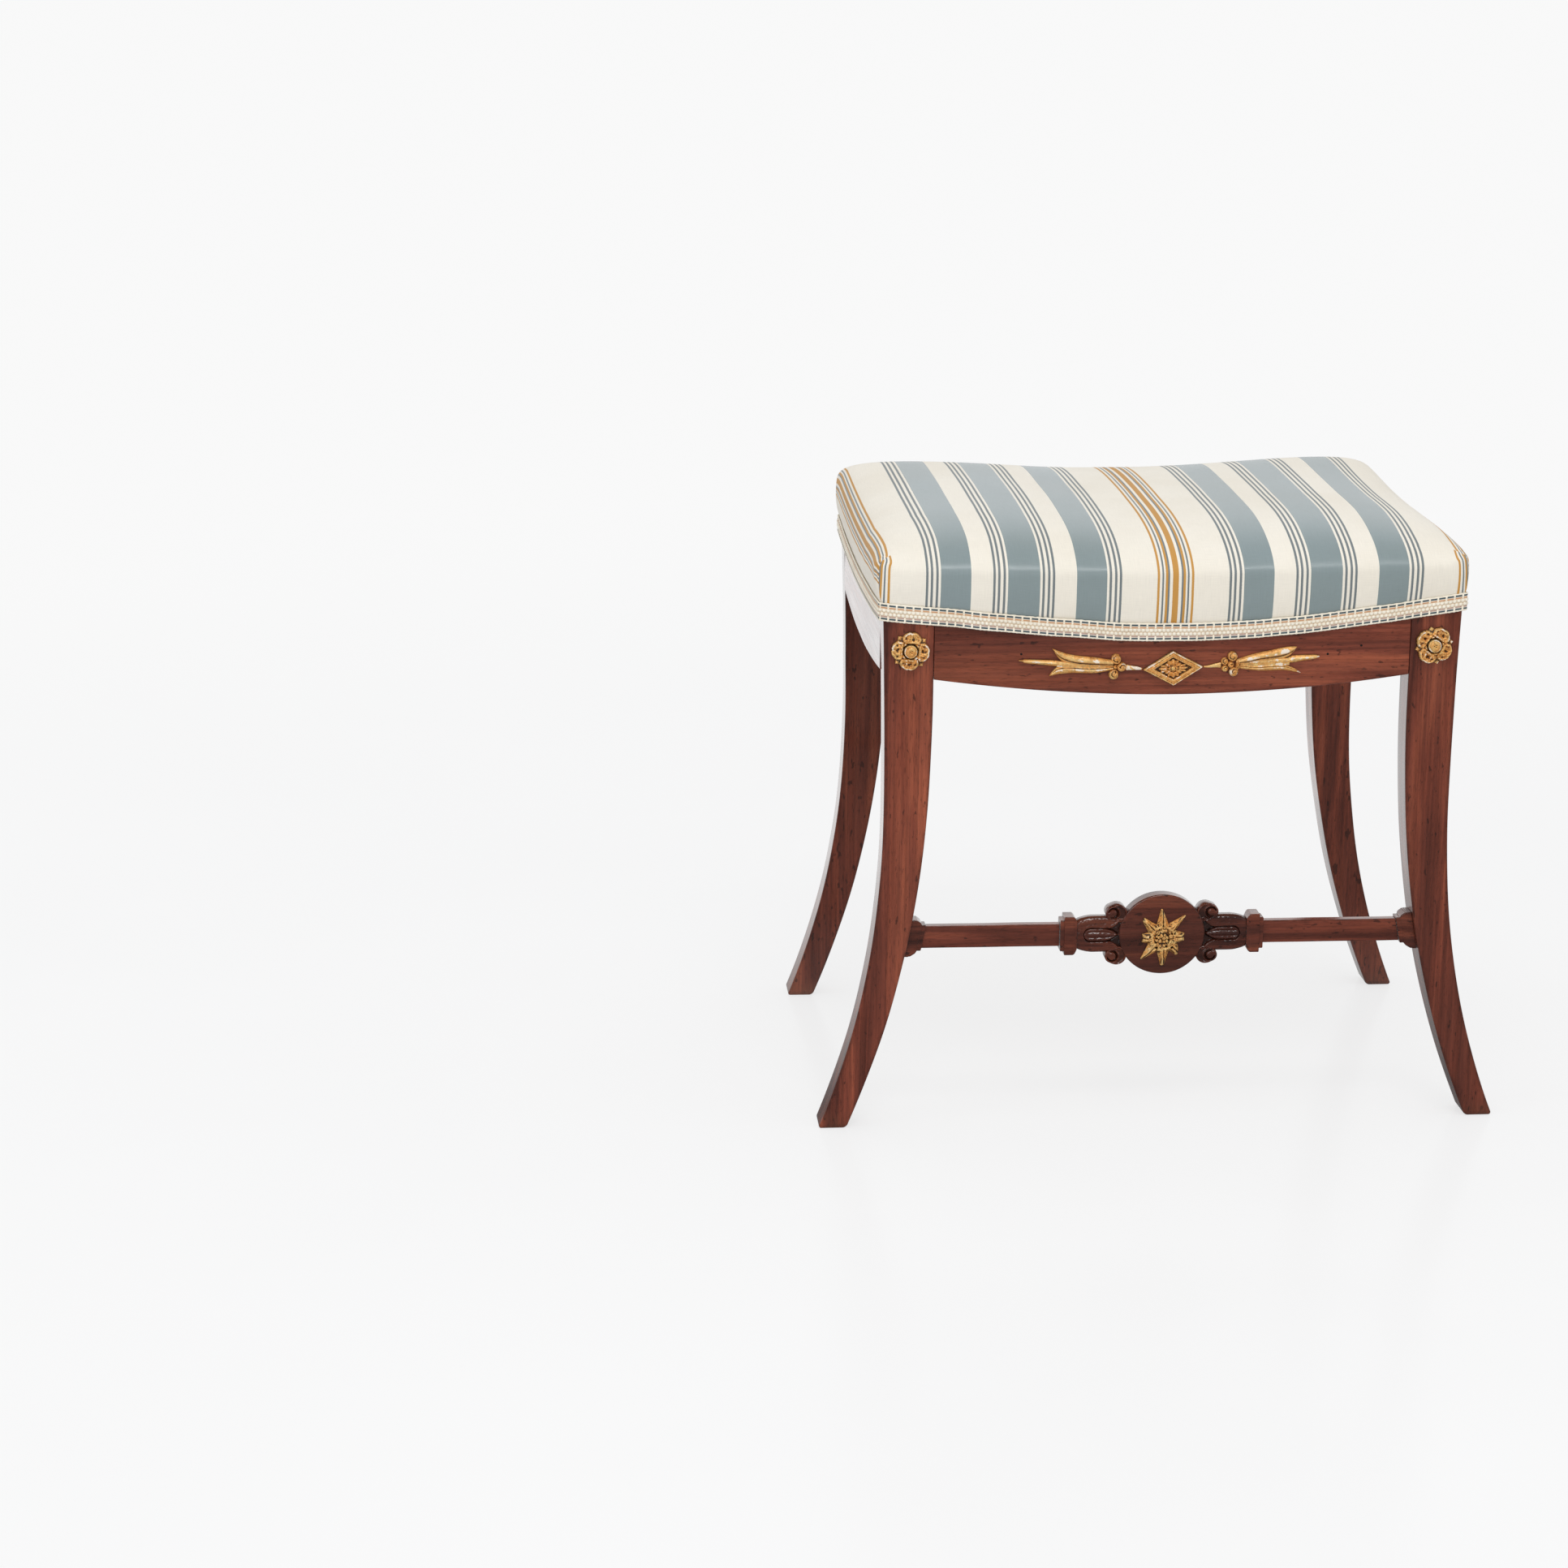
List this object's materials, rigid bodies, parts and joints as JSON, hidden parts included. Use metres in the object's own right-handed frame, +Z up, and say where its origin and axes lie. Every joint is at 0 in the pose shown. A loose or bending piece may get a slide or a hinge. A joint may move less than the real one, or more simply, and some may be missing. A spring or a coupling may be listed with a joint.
{
  "type": "upholstered stool",
  "caption": "Low upholstered stool with curved sabre legs, bowed rails, a striped dished seat edged with braid, gilt ornaments and a carved front stretcher.",
  "frame": {"origin": "on the floor under the middle of the stool's bounding box", "axes": "+X to the right of someone facing the stool's front, +Y to the back, +Z up; the front with the stretcher and ornaments faces -Y"},
  "size_m": [0.5382, 0.3734, 0.4763],
  "materials": {
    "mahogany": "french polished mahogany, worn at the edges",
    "corner_wood": "bare pine, aged",
    "screw_steel": "dull steel",
    "gilding": "aged gold leaf over white ground on carved wood, chipped",
    "webbing": "jute webbing",
    "hessian": "open plain woven hessian",
    "stuffing": "horsehair under calico",
    "satin": "cream satin with grey-blue and gold stripes",
    "gimp": "woven cream braid with blue and pink threads"
  },
  "bodies": {
    "root": {"front_left_leg": "mahogany", "front_left_corner_block": "corner_wood", "front_left_rail_screw": "screw_steel", "front_left_side_screw": "screw_steel", "front_right_leg": "mahogany", "front_right_corner_block": "corner_wood", "front_right_rail_screw": "screw_steel", "front_right_side_screw": "screw_steel", "rear_left_leg": "mahogany", "rear_left_corner_block": "corner_wood", "rear_left_rail_screw": "screw_steel", "rear_left_side_screw": "screw_steel", "rear_right_leg": "mahogany", "rear_right_corner_block": "corner_wood", "rear_right_rail_screw": "screw_steel", "rear_right_side_screw": "screw_steel", "front_rail": "mahogany", "rear_rail": "mahogany", "left_side_rail": "mahogany", "right_side_rail": "mahogany", "stretcher_roundel": "mahogany", "left_scroll_capital": "mahogany", "left_stretcher_collar": "mahogany", "left_stretcher_bar": "mahogany", "left_end_block": "mahogany", "left_rosette": "gilding", "left_spear_ornament": "gilding", "right_scroll_capital": "mahogany", "right_stretcher_collar": "mahogany", "right_stretcher_bar": "mahogany", "right_end_block": "mahogany", "right_rosette": "gilding", "right_spear_ornament": "gilding", "diamond_ornament": "gilding", "star_ornament": "gilding", "cross_web_1": "webbing", "cross_web_2": "webbing", "cross_web_3": "webbing", "cross_web_4": "webbing", "cross_web_5": "webbing", "long_web_1": "webbing", "long_web_2": "webbing", "long_web_3": "webbing", "hessian_sheet": "hessian", "seat_stuffing": "stuffing", "seat_cover": "satin", "gimp_braid": "gimp"}
  },
  "joints": []
}
